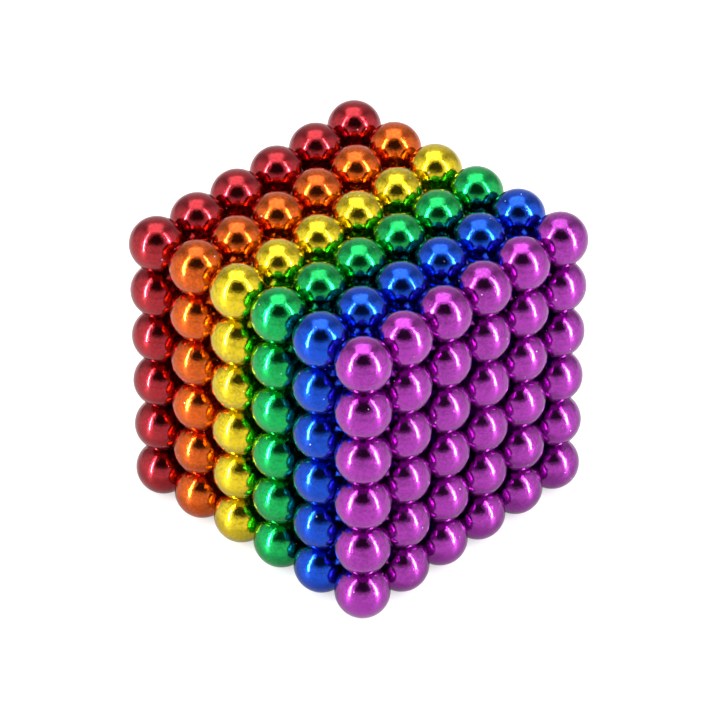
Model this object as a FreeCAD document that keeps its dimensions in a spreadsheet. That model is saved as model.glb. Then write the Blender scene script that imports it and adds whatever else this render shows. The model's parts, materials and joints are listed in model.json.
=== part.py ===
"""Magnetic desk sculpture: 216 coloured ball magnets stacked as a six by six by six cube.

The cube is six upright layers, one colour each, one behind the other along Y. Each layer is six
columns side by side along X, and each column is six balls on top of each other. A column is one
sub-part that holds six separate balls, apart from the first column of each inner layer. Those
columns curl away from the cube ball by ball, so each of their balls is a sub-part of its own. The
cube stands on the balls of its lowest course, and the origin is on that surface, below the cube's
centre.
"""

import FreeCAD, Part
import os

# Driving dimensions, in millimetres.
DIMENSIONS = {
    "ball_diameter": 5.0,  # over the coloured coat
    "coat_gap": 0.02,  # left between neighbouring balls, which touch only at points
}

# The layers from the front of the cube (-Y) to its back (+Y).
LAYER_COLOURS = ["purple", "blue", "green", "yellow", "orange", "red"]
INNER_COLOURS = LAYER_COLOURS[1:-1]
COLUMNS_PER_LAYER = 6
BALLS_PER_COLUMN = 6
CURLING_COLUMN = 1  # numbered along +X, so this one is at the -X face

RADIUS = "Dimensions.ball_diameter / 2"
PITCH = "(Dimensions.ball_diameter + Dimensions.coat_gap)"


def make_dimensions(doc):
    """The spreadsheet of driving dimensions, one row each, with the name beside the value."""
    sheet = doc.addObject("Spreadsheet::Sheet", "Dimensions")
    for row, (name, value) in enumerate(DIMENSIONS.items(), start=1):
        sheet.set(f"A{row}", name)
        sheet.set(f"B{row}", str(value))
        sheet.setAlias(f"B{row}", name)
    doc.recompute()
    return sheet


def make_ball(doc, name, level):
    """One magnet ball, at its height above the surface that the cube stands on."""
    ball = doc.addObject("Part::Sphere", name)
    ball.Label = name
    ball.setExpression("Radius", RADIUS)
    ball.setExpression("Placement.Base.z", f"{RADIUS} + {level - 1} * {PITCH}")
    return ball


def place_in_grid(item, layer, column):
    """Puts a sub-part at its column's place in the grid, which is centred on the origin."""
    pitches_across = column - (COLUMNS_PER_LAYER + 1) / 2
    pitches_deep = layer - (len(LAYER_COLOURS) + 1) / 2
    item.setExpression("Placement.Base.x", f"{pitches_across} * {PITCH}")
    item.setExpression("Placement.Base.y", f"{pitches_deep} * {PITCH}")


def make_column(doc, colour, layer, column):
    """One upright column of six separate balls, as one sub-part."""
    levels = range(1, BALLS_PER_COLUMN + 1)
    group = doc.addObject("Part::Compound", f"{colour}_column_{column}")
    group.Label = f"{colour}_column_{column}"
    group.Links = [make_ball(doc, f"{colour}_column_{column}_ball_{n}", n) for n in levels]
    place_in_grid(group, layer, column)
    return group


def make_single_balls(doc, colour, layer, column):
    """The six balls of a column that curls, each as a sub-part, numbered from the lowest."""
    balls = []
    for level in range(1, BALLS_PER_COLUMN + 1):
        ball = make_ball(doc, f"{colour}_ball_{level}", level)
        place_in_grid(ball, layer, column)
        balls.append(ball)
    return balls


def make_layer(doc, colour, layer):
    """One upright single-colour layer, as its sub-parts from -X to +X."""
    subparts = []
    for column in range(1, COLUMNS_PER_LAYER + 1):
        if colour in INNER_COLOURS and column == CURLING_COLUMN:
            subparts.extend(make_single_balls(doc, colour, layer, column))
        else:
            subparts.append(make_column(doc, colour, layer, column))
    return subparts


def check_document(doc):
    """Stops if any object failed to recompute."""
    for item in doc.Objects:
        if "Invalid" in item.State or "Error" in item.State:
            raise RuntimeError(f"{item.Label} failed: {item.State}")


def check_subpart(subpart, radius):
    """Stops if a sub-part isn't one or six valid, separate balls of the right size."""
    shape = subpart.Shape
    if shape.isNull() or not shape.isValid():
        raise RuntimeError(f"{subpart.Label} has no valid shape")
    if len(shape.Solids) not in (1, BALLS_PER_COLUMN):
        raise RuntimeError(f"{subpart.Label} holds {len(shape.Solids)} balls")
    ball_volume = Part.makeSphere(radius).Volume
    for solid in shape.Solids:
        if abs(solid.Volume / ball_volume - 1) > 1e-6:
            raise RuntimeError(f"{subpart.Label} has a ball of the wrong size")


def main():
    doc = FreeCAD.newDocument("magnet_ball_cube")
    sheet = make_dimensions(doc)
    subparts = []
    for layer, colour in enumerate(LAYER_COLOURS, start=1):
        subparts.extend(make_layer(doc, colour, layer))
    doc.recompute()
    check_document(doc)
    for subpart in subparts:
        check_subpart(subpart, sheet.ball_diameter / 2)

    os.makedirs("parts", exist_ok=True)
    for subpart in subparts:
        subpart.Shape.exportStep(f"parts/{subpart.Label}.step")
    cube = Part.makeCompound([subpart.Shape for subpart in subparts])
    box = cube.BoundBox
    print(f"{len(subparts)} sub-parts, {len(cube.Solids)} balls")
    print(f"{box.XLength:.2f} x {box.YLength:.2f} x {box.ZLength:.2f} mm")


main()
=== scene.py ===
"""Looks for the magnet ball cube: 216 coloured ball magnets in six upright layers, on a white table."""

import json
from math import pi, radians

import bpy
import numpy as np
from mathutils import Color, Matrix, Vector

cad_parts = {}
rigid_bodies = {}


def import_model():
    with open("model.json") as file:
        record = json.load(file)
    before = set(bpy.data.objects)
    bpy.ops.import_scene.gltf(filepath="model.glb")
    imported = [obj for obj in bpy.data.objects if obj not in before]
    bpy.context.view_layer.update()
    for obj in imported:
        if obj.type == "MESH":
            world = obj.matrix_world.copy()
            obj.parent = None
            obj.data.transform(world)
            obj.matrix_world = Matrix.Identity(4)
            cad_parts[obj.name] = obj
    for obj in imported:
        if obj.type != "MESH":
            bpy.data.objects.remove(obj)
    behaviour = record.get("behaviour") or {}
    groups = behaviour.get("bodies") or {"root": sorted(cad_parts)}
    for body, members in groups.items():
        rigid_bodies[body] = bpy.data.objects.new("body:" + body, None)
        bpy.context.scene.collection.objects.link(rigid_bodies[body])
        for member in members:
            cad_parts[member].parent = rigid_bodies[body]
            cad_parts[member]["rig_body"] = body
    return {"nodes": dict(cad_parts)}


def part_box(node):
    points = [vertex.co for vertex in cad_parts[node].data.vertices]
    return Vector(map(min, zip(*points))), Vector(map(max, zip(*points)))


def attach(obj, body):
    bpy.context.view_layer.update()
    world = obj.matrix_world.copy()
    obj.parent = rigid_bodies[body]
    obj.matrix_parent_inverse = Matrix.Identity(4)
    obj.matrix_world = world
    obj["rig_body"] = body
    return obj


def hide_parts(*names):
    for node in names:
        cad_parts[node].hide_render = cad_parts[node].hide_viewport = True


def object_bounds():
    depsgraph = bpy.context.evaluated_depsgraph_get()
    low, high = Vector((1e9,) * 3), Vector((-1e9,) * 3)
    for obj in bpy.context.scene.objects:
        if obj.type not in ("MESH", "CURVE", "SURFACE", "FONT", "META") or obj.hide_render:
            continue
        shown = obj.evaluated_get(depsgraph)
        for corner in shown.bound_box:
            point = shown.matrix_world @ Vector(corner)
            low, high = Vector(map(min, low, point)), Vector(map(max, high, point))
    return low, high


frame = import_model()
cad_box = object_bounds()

MICRON = 1e-6
MM = 1e-3
SEED = 216

# The camera, as it stands round the middle of the cube. Azimuth 0 looks along +Y.
CAMERA_AZIMUTH = -46.48
CAMERA_ELEVATION = 37.49
CAMERA_ROLL = 0.24
CAMERA_DISTANCE = 0.4013
CAMERA_OFFSET = (0.00015, -0.00046)
CAMERA_LENS = 223.8
CAMERA_SENSOR = 36.0
CAMERA_CLIP = (0.01, 20.0)

# The studio is a light tent, described as seen from the cube. Angles are in degrees. Azimuths run
# round from the camera's side and are the same to the left and right. A level of 1 is white.
BACKGROUND_LEVEL = 1.0  # what the camera sees behind the cube
WALL_LEVELS = ((0, 1.25), (65, 1.90), (98, 1.50), (135, 0.56), (166, 1.02), (180, 1.08))
WALL_LEAN = 20  # how far the walls' dark part moves towards the camera's side, higher up
WALL_LEAN_ELEVATIONS = (22, 55)
CEILING_LEVEL = 1.10
CEILING_ELEVATIONS = (55, 75)

# The dark opening that the camera looks in through, by the two angles at which each edge fades.
OPENING_LEVEL = 0.05
OPENING_SIDES = (34, 57)
OPENING_FOOT = (14, 39)
OPENING_TOP = (66, 88)

# The soft box overhead, on a ceiling at a height of 1: its sides and how far its light fades at them.
SOFTBOX_ACROSS = (-0.56, 0.38)
SOFTBOX_AWAY = (-0.14, 0.73)
SOFTBOX_FADE = 0.30
SOFTBOX_LEVEL = 3.7
SOFTBOX_LOWEST = 0.05  # directions nearer the horizon than this count as this high

# The tall strips of light, one on each side. Each stands on the table, turned about its foot to lean,
# and its lower part is wider.
STRIP_FEET = {"left_strip": -51, "right_strip": 58}
STRIP_LEANS = {"left_strip": 12, "right_strip": -10}
STRIP_PARTS = {
    "whole": {"distance": 0.45, "size": (0.022, 1.05), "level": 66.0},
    "lower": {"distance": 0.44, "size": (0.036, 0.36), "level": 49.0},
}

# The white table, with paper-like fibres. For the camera it also glows, so that it looks as white as
# the background.
TABLE_HALF_WIDTH = 3.0
TABLE_DROP = 0.05 * MM
TABLE_TONES = ((0.52, 0.52, 0.52, 1.0), (0.54, 0.54, 0.54, 1.0))
TABLE_FIBRES = {"Scale": 400.0, "Detail": 3.0}
TABLE_FIBRES_EDGE = (0.3, 0.7)
TABLE_ROUGHNESS = 0.5
TABLE_GLOW = 0.5

# How each ball is made. The coat lies just inside the CAD ball, so no two balls ever meet.
STEPS_PER_CUBE_EDGE = 20
COAT_WAVES = 5
COAT_WAVE_HEIGHT = 5.0 * MICRON
COAT_WAVE_LENGTHS = (0.9 * MM, 1.9 * MM)
BALL_SIZE_SPREAD = 4.0 * MICRON
NOISE_SHIFT = 100  # in millimetres, so that no two balls have the same spots

# The coats' colours, as the light that they reflect, and how strongly the clear coat on each shines.
COAT_COLOURS = {
    "purple": (0.286, 0.019, 0.303),
    "blue": (0.000, 0.052, 0.455),
    "green": (0.000, 0.328, 0.066),
    "yellow": (0.590, 0.438, 0.002),
    "orange": (0.540, 0.079, 0.001),
    "red": (0.290, 0.005, 0.012),
}
CLEAR_COATS = {
    "purple": 0.42, "blue": 0.27, "green": 0.27, "yellow": 0.38, "orange": 0.28, "red": 0.40,
}
CLEAR_COAT_ROUGHNESS = 0.08
EDGE_TINT = (0.80, 0.80, 0.80, 1.0)
NICKEL = (0.62, 0.59, 0.55)
DUST = (0.80, 0.80, 0.80)
FLECK = (0.03, 0.03, 0.03)

# What varies over a coat: lumps, by how many there are in a millimetre and their detail, and specks,
# by how many there can be in a millimetre, their radius in millimetres and the share that is there.
LUMPS_ROUGHNESS = 0.55
SMALLEST_SPECK = 0.4  # its radius, next to the largest speck's
PATCHES = (0.9, 4.0)
GRAIN = (3.6, 2.0)
PEEL = (5.5, 2.0)
SWELL = (1.5, 1.0)
RAGGED = (5.0, 3.0)
DUST_SPECKS = (1.5, 0.050, 0.24)
FLECK_SPECKS = (0.9, 0.07, 0.12)

# Between which values of the lumps each of these comes in, and how far the mottling goes each way.
PATCHES_EDGE = (0.35, 0.70)
SMUDGES_EDGE = (0.40, 0.75)
MOTTLE_EDGE = (0.3, 0.7)
MOTTLE_ENDS = (-0.5, 0.5)

# Wear round each contact, by its distance from there in millimetres, and how ragged its edge is.
RUBBED_EDGE = (0.42, 0.60)
BARE_EDGE = (0.27, 0.30)
RAGGEDNESS = 0.30

# How much each varying part does to the colour, to the roughness and, in micrometres, to the height.
DEEPER = {"patches": 0.50, "mottle": 1.10, "ball": 0.40}
ROUGHER = {"smudges": 0.06, "grain": 0.04, "rubbed": 0.10, "dust": 0.35}
HIGHER = {"peel": 15.0, "swell": 20.0, "grain": 2.0, "dust": 6.0, "bare": -4.0}
DEEP_TONE = 0.72  # how bright the deepest colour is, next to the coat's own
RUBBED_SHARE = 0.35
FLECK_SHARE = 0.75
POLISHED_ROUGHNESS = 0.08


# ---------------------------------------------------------------- shader nodes


def add(tree, kind, inputs=None, **settings):
    """A new node. Each input, by its name or number, is a value or the socket that feeds it."""
    node = tree.nodes.new(kind)
    for name, value in settings.items():
        setattr(node, name, value)
    for key, value in (inputs or {}).items():
        if isinstance(value, bpy.types.NodeSocket):
            tree.links.new(value, node.inputs[key])
        else:
            node.inputs[key].default_value = value
    return node


def calc(tree, operation, *values):
    """One step of arithmetic on numbers or sockets."""
    return add(tree, "ShaderNodeMath", dict(enumerate(values)), operation=operation).outputs[0]


def ease(tree, value, start, end, first=0.0, last=1.0):
    """Goes smoothly from first to last while value goes from start to end."""
    inputs = {"Value": value, "From Min": start, "From Max": end, "To Min": first, "To Max": last}
    node = add(tree, "ShaderNodeMapRange", inputs, interpolation_type="SMOOTHSTEP")
    return node.outputs["Result"]


def ease_angle(tree, angle, ends, first=0.0, last=1.0):
    """The same for an angle, between two ends in degrees."""
    return ease(tree, angle, radians(ends[0]), radians(ends[1]), first, last)


def between(tree, value, ends, margin):
    """1 between the two ends, and fading to 0 over the margin round each."""
    start = ease(tree, value, ends[0] - margin / 2, ends[0] + margin / 2)
    end = ease(tree, value, ends[1] - margin / 2, ends[1] + margin / 2, 1.0, 0.0)
    return calc(tree, "MULTIPLY", start, end)


def blend(tree, share, first, second):
    """Goes from the first colour to the second with share."""
    inputs = {0: share, 6: first, 7: second}
    return add(tree, "ShaderNodeMix", inputs, data_type="RGBA").outputs[2]


def fade(tree, share, first, second):
    """Goes from the first number to the second with share."""
    inputs = {0: share, 2: first, 3: second}
    return add(tree, "ShaderNodeMix", inputs, data_type="FLOAT").outputs[0]


def attribute(tree, name, output):
    """What a piece's mesh holds under that name."""
    return add(tree, "ShaderNodeAttribute", attribute_name=name).outputs[output]


# ---------------------------------------------------------------- the coats


def lumps(tree, place, per_mm, detail):
    """Soft noise over the coat, with about that many lumps in a millimetre."""
    inputs = {"Vector": place, "Scale": per_mm, "Detail": detail, "Roughness": LUMPS_ROUGHNESS}
    return add(tree, "ShaderNodeTexNoise", inputs).outputs[0]


def specks(tree, place, per_mm, radius, share):
    """1 inside small round spots, in that share of the cells of a net with per_mm cells a millimetre."""
    cells = add(tree, "ShaderNodeTexVoronoi", {"Vector": place, "Scale": per_mm})
    chance = add(tree, "ShaderNodeSeparateColor", {"Color": cells.outputs["Color"]}).outputs[0]
    smallest, largest = SMALLEST_SPECK * radius * per_mm, radius * per_mm
    size = ease(tree, chance, 1.0 - share, 1.0, smallest, largest)
    inside = calc(tree, "LESS_THAN", cells.outputs["Distance"], size)
    return calc(tree, "MULTIPLY", inside, calc(tree, "GREATER_THAN", chance, 1.0 - share))


def coat_parts(tree):
    """Everything that varies over a coat, by name."""
    place = attribute(tree, "coat_place", "Vector")
    patches = lumps(tree, place, *PATCHES)
    grain = lumps(tree, place, *GRAIN)
    contact = attribute(tree, "from_contact", "Vector")
    distance = add(tree, "ShaderNodeVectorMath", {0: contact}, operation="LENGTH").outputs["Value"]
    ragged = calc(tree, "MULTIPLY_ADD", lumps(tree, place, *RAGGED), RAGGEDNESS, distance)
    return {
        "ball": attribute(tree, "ball_tone", "Fac"),
        "patches": ease(tree, patches, *PATCHES_EDGE),
        "smudges": ease(tree, patches, *SMUDGES_EDGE),
        "grain": grain,
        "mottle": ease(tree, grain, *MOTTLE_EDGE, *MOTTLE_ENDS),
        "rubbed": ease(tree, ragged, *RUBBED_EDGE, 1.0, 0.0),
        "bare": ease(tree, ragged, *BARE_EDGE, 1.0, 0.0),
        "dust": specks(tree, place, *DUST_SPECKS),
        "fleck": specks(tree, place, *FLECK_SPECKS),
        "peel": lumps(tree, place, *PEEL),
        "swell": lumps(tree, place, *SWELL),
    }


def total(tree, parts, factors):
    """The sum of the parts that have a factor, each times its own."""
    result = 0.0
    for name, factor in factors.items():
        result = calc(tree, "MULTIPLY_ADD", parts[name], factor, result)
    return result


def coat_tone(tree, colour, parts):
    """The colour over a coat: deeper in places, worn through to the nickel, and with flecks and dust."""
    own = (*COAT_COLOURS[colour], 1.0)
    deep = Color(COAT_COLOURS[colour])
    deep.v *= DEEP_TONE
    deep = (*deep, 1.0)
    tone = blend(tree, total(tree, parts, DEEPER), own, deep)
    tone = blend(tree, calc(tree, "MULTIPLY", parts["rubbed"], RUBBED_SHARE), tone, deep)
    tone = blend(tree, parts["bare"], tone, (*NICKEL, 1.0))
    tone = blend(tree, calc(tree, "MULTIPLY", parts["fleck"], FLECK_SHARE), tone, (*FLECK, 1.0))
    return blend(tree, parts["dust"], tone, (*DUST, 1.0))


def make_coat(colour):
    """Polished, coloured coat over nickel: almost a mirror, with orange peel, smudges, dust and wear."""
    material = bpy.data.materials.new(f"{colour}_coat")
    material.use_nodes = True
    tree = material.node_tree
    shader = tree.nodes["Principled BSDF"]
    parts = coat_parts(tree)
    tone = coat_tone(tree, colour, parts)
    roughness = calc(tree, "ADD", total(tree, parts, ROUGHER), POLISHED_ROUGHNESS)
    height = total(tree, parts, HIGHER)
    bump = add(tree, "ShaderNodeBump", {"Height": height, "Strength": 1.0, "Distance": MICRON})
    tree.links.new(tone, shader.inputs["Base Color"])
    tree.links.new(roughness, shader.inputs["Roughness"])
    tree.links.new(bump.outputs["Normal"], shader.inputs["Normal"])
    shader.inputs["Metallic"].default_value = 1.0
    shader.inputs["Specular Tint"].default_value = EDGE_TINT
    shader.inputs["Coat Weight"].default_value = CLEAR_COATS[colour]
    shader.inputs["Coat Roughness"].default_value = CLEAR_COAT_ROUGHNESS
    return material


# ---------------------------------------------------------------- the balls


def ball_grid(steps):
    """Unit directions and outward quads of a cube's surface grid, swelled evenly into a ball."""
    lattice = np.stack(np.meshgrid(*[np.arange(steps + 1)] * 3, indexing="ij"), -1).reshape(-1, 3)
    shell = lattice[(lattice % steps == 0).any(axis=1)]
    number = np.full((steps + 1,) * 3, -1)
    number[tuple(shell.T)] = np.arange(len(shell))
    directions = np.tan((shell / steps - 0.5) * pi / 2)
    directions /= np.linalg.norm(directions, axis=1, keepdims=True)
    quads = []
    for axis in range(3):
        for side in (0, steps):
            face = np.take(number, side, axis=axis)
            ring = np.stack([face[:-1, :-1], face[1:, :-1], face[1:, 1:], face[:-1, 1:]], -1)
            ring = ring.reshape(-1, 4)
            corners = directions[ring]
            normal = np.cross(corners[:, 1] - corners[:, 0], corners[:, 3] - corners[:, 0])
            outward = (normal * corners[:, 0]).sum(axis=1) > 0
            quads.append(np.where(outward[:, None], ring, ring[:, ::-1]))
    return directions, np.concatenate(quads)


def coat_surface(directions, diameter, rng):
    """One ball's points about its centre: a little under full size, and slightly wavy."""
    radius = diameter / 2 - rng.uniform(0, BALL_SIZE_SPREAD / 2)
    waves = np.zeros(len(directions))
    for _ in range(COAT_WAVES):
        heading = rng.normal(size=3)
        heading /= np.linalg.norm(heading)
        length = rng.uniform(*COAT_WAVE_LENGTHS)
        waves += np.sin(directions @ heading * radius * 2 * pi / length + rng.uniform(0, 2 * pi))
    depth = COAT_WAVE_HEIGHT * (1 - waves / COAT_WAVES)
    return directions * (radius - depth)[:, None]


def contact_directions(centre, pitch, cube_middle, balls_per_edge):
    """Where a ball touches its neighbours, as unit directions. None points out of the cube."""
    cell = np.round((centre - cube_middle) / pitch + (balls_per_edge - 1) / 2)
    found = []
    for axis in range(3):
        for step in (-1, 1):
            if 0 <= cell[axis] + step < balls_per_edge:
                found.append(np.eye(3)[axis] * step)
    return np.array(found)


def write_attribute(mesh, name, kind, values):
    """Stores one value or vector for each point of the mesh."""
    made = mesh.attributes.new(name, kind, "POINT")
    field = "vector" if kind == "FLOAT_VECTOR" else "value"
    made.data.foreach_set(field, values.astype(np.float32).ravel())


def make_piece(node, sizes, grid, material, rng):
    """The coated balls that stand for one CAD node."""
    directions, quads = grid
    low, high = (np.array(corner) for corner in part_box(node))
    levels = round((high[2] - low[2] - sizes["diameter"]) / sizes["pitch"]) + 1
    points, faces, places, tones, contacts = [], [], [], [], []
    for level in range(levels):
        centre = (low + high) / 2
        centre[2] = low[2] + sizes["diameter"] / 2 + level * sizes["pitch"]
        surface = coat_surface(directions, sizes["diameter"], rng)
        touching = contact_directions(centre, sizes["pitch"], sizes["middle"], sizes["per_edge"])
        nearest = touching[np.argmax(directions @ touching.T, axis=1)]
        faces.append(quads + level * len(directions))
        points.append(centre + surface)
        places.append(surface / MM + rng.uniform(0, NOISE_SHIFT, size=3))
        tones.append(np.full(len(directions), rng.uniform(0, 1)))
        contacts.append((directions - nearest) * sizes["diameter"] / 2 / MM)

    mesh = bpy.data.meshes.new(f"{node}_coated")
    mesh.from_pydata(np.concatenate(points), [], np.concatenate(faces).tolist())
    mesh.shade_smooth()
    write_attribute(mesh, "coat_place", "FLOAT_VECTOR", np.concatenate(places))
    write_attribute(mesh, "ball_tone", "FLOAT", np.concatenate(tones))
    write_attribute(mesh, "from_contact", "FLOAT_VECTOR", np.concatenate(contacts))
    mesh.materials.append(material)
    piece = bpy.data.objects.new(f"{node}_coated", mesh)
    bpy.context.scene.collection.objects.link(piece)
    return piece


def cube_sizes():
    """The ball's diameter, the distance between balls, and the cube's middle, all from the frame."""
    ball_low, ball_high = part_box("blue_ball_1")
    low, high = cad_box
    diameter = ball_high.z - ball_low.z
    per_edge = round((high.z - low.z) / diameter)
    return {
        "diameter": diameter,
        "pitch": (high.z - low.z - diameter) / (per_edge - 1),
        "middle": np.array((low + high) / 2),
        "per_edge": per_edge,
    }


def make_balls():
    """Every CAD node's coated balls, riding on that node's body."""
    rng = np.random.default_rng(SEED)
    sizes = cube_sizes()
    grid = ball_grid(STEPS_PER_CUBE_EDGE)
    coats = {colour: make_coat(colour) for colour in COAT_COLOURS}
    for node in sorted(frame["nodes"]):
        colour = node.split("_")[0]
        piece = make_piece(node, sizes, grid, coats[colour], rng)
        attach(piece, frame["nodes"][node]["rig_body"])
        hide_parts(node)


# ---------------------------------------------------------------- the studio


def round_the_cube(azimuth, elevation, distance):
    """A place that faces the middle of the cube, for a light or a camera."""
    low, high = cad_box
    turn = Matrix.Rotation(radians(azimuth), 4, "Z") @ Matrix.Rotation(radians(90 - elevation), 4, "X")
    return Matrix.Translation((low + high) / 2) @ turn @ Matrix.Translation((0, 0, distance))


def make_light(name, place, size, level):
    """A rectangle of light with an even face, seen only by what it lights."""
    light = bpy.data.lights.new(name, "AREA")
    light.shape = "RECTANGLE"
    light.size, light.size_y = size
    light.energy = level * pi * size[0] * size[1]
    lamp = bpy.data.objects.new(name, light)
    bpy.context.scene.collection.objects.link(lamp)
    lamp.matrix_world = place
    lamp.visible_camera = False


def make_lights():
    """The tall strip on each side of the camera's line, in two parts."""
    low, _ = cad_box
    for name, azimuth in STRIP_FEET.items():
        lean = Matrix.Rotation(radians(STRIP_LEANS[name]), 4, "Z")
        for part, strip in STRIP_PARTS.items():
            foot = round_the_cube(CAMERA_AZIMUTH + azimuth, 0, strip["distance"])
            foot.translation.z = low.z
            middle = foot @ lean @ Matrix.Translation((0, strip["size"][1] / 2, 0))
            make_light(f"{name}_{part}", middle, strip["size"], strip["level"])


def wall_level(tree, azimuth, elevation):
    """How bright the tent is in a direction, all the way round and up to the ceiling."""
    lean = ease_angle(tree, elevation, WALL_LEAN_ELEVATIONS, 0.0, radians(WALL_LEAN))
    along = calc(tree, "ADD", azimuth, lean)
    level = WALL_LEVELS[0][1]
    for (start, _), (end, last) in zip(WALL_LEVELS, WALL_LEVELS[1:]):
        level = fade(tree, ease_angle(tree, along, (start, end)), level, last)
    return fade(tree, ease_angle(tree, elevation, CEILING_ELEVATIONS), level, CEILING_LEVEL)


def opening_share(tree, azimuth, elevation):
    """1 in the dark opening, and 0 outside it."""
    side = ease_angle(tree, azimuth, OPENING_SIDES, 1.0, 0.0)
    foot = ease_angle(tree, elevation, OPENING_FOOT)
    top = ease_angle(tree, elevation, OPENING_TOP, 1.0, 0.0)
    return calc(tree, "MULTIPLY", side, calc(tree, "MULTIPLY", foot, top))


def softbox_share(tree, x, y, z):
    """1 in the soft box overhead, and 0 outside it."""
    height = calc(tree, "MAXIMUM", z, SOFTBOX_LOWEST)
    across = between(tree, calc(tree, "DIVIDE", x, height), SOFTBOX_ACROSS, SOFTBOX_FADE)
    away = between(tree, calc(tree, "DIVIDE", y, height), SOFTBOX_AWAY, SOFTBOX_FADE)
    return calc(tree, "MULTIPLY", across, away)


def make_world():
    """The tent that the balls reflect: walls and ceiling, the dark opening and the soft box."""
    world = bpy.data.worlds.new("studio")
    world.use_nodes = True
    bpy.context.scene.world = world
    tree = world.node_tree
    direction = add(tree, "ShaderNodeTexCoord").outputs["Generated"]
    inputs = {"Vector": direction, "Axis": (0, 0, 1), "Angle": -radians(CAMERA_AZIMUTH)}
    turned = add(tree, "ShaderNodeVectorRotate", inputs).outputs[0]
    x, y, z = add(tree, "ShaderNodeSeparateXYZ", {0: turned}).outputs
    azimuth = calc(tree, "ABSOLUTE", calc(tree, "ARCTAN2", x, calc(tree, "MULTIPLY", y, -1.0)))
    elevation = calc(tree, "ARCSINE", z)
    level = wall_level(tree, azimuth, elevation)
    level = fade(tree, opening_share(tree, azimuth, elevation), level, OPENING_LEVEL)
    level = fade(tree, softbox_share(tree, x, y, z), level, SOFTBOX_LEVEL)
    seen = add(tree, "ShaderNodeLightPath").outputs["Is Camera Ray"]
    level = fade(tree, seen, level, BACKGROUND_LEVEL)
    grey = add(tree, "ShaderNodeCombineColor", {"Red": level, "Green": level, "Blue": level})
    tree.links.new(grey.outputs[0], tree.nodes["Background"].inputs["Color"])


def make_floor():
    """The wide white table under the cube."""
    low, _ = cad_box
    corners = ((-1, -1), (1, -1), (1, 1), (-1, 1))
    points = [(x * TABLE_HALF_WIDTH, y * TABLE_HALF_WIDTH, low.z - TABLE_DROP) for x, y in corners]
    mesh = bpy.data.meshes.new("table")
    mesh.from_pydata(points, [], [(0, 1, 2, 3)])
    material = bpy.data.materials.new("white_table")
    material.use_nodes = True
    tree = material.node_tree
    shader = tree.nodes["Principled BSDF"]
    place = add(tree, "ShaderNodeTexCoord").outputs["Object"]
    fibres = add(tree, "ShaderNodeTexNoise", {"Vector": place, **TABLE_FIBRES}).outputs[0]
    shade = ease(tree, fibres, *TABLE_FIBRES_EDGE)
    tree.links.new(blend(tree, shade, *TABLE_TONES), shader.inputs["Base Color"])
    shader.inputs["Roughness"].default_value = TABLE_ROUGHNESS
    shader.inputs["Emission Color"].default_value = (1.0, 1.0, 1.0, 1.0)
    seen = add(tree, "ShaderNodeLightPath").outputs["Is Camera Ray"]
    tree.links.new(calc(tree, "MULTIPLY", seen, TABLE_GLOW), shader.inputs["Emission Strength"])
    mesh.materials.append(material)
    floor = bpy.data.objects.new("table", mesh)
    bpy.context.scene.collection.objects.link(floor)


def make_camera():
    """The camera, looking down on the corner between the purple face and the striped one."""
    data = bpy.data.cameras.new("camera")
    data.lens = CAMERA_LENS
    data.sensor_width = CAMERA_SENSOR
    data.clip_start, data.clip_end = CAMERA_CLIP
    camera = bpy.data.objects.new("camera", data)
    bpy.context.scene.collection.objects.link(camera)
    facing = round_the_cube(CAMERA_AZIMUTH, CAMERA_ELEVATION, 0)
    roll = Matrix.Rotation(radians(CAMERA_ROLL), 4, "Z")
    camera.matrix_world = facing @ roll @ Matrix.Translation((*CAMERA_OFFSET, CAMERA_DISTANCE))
    bpy.context.scene.camera = camera


make_camera()
make_balls()
make_floor()
make_world()
make_lights()
bpy.context.scene.view_settings.view_transform = "Standard"
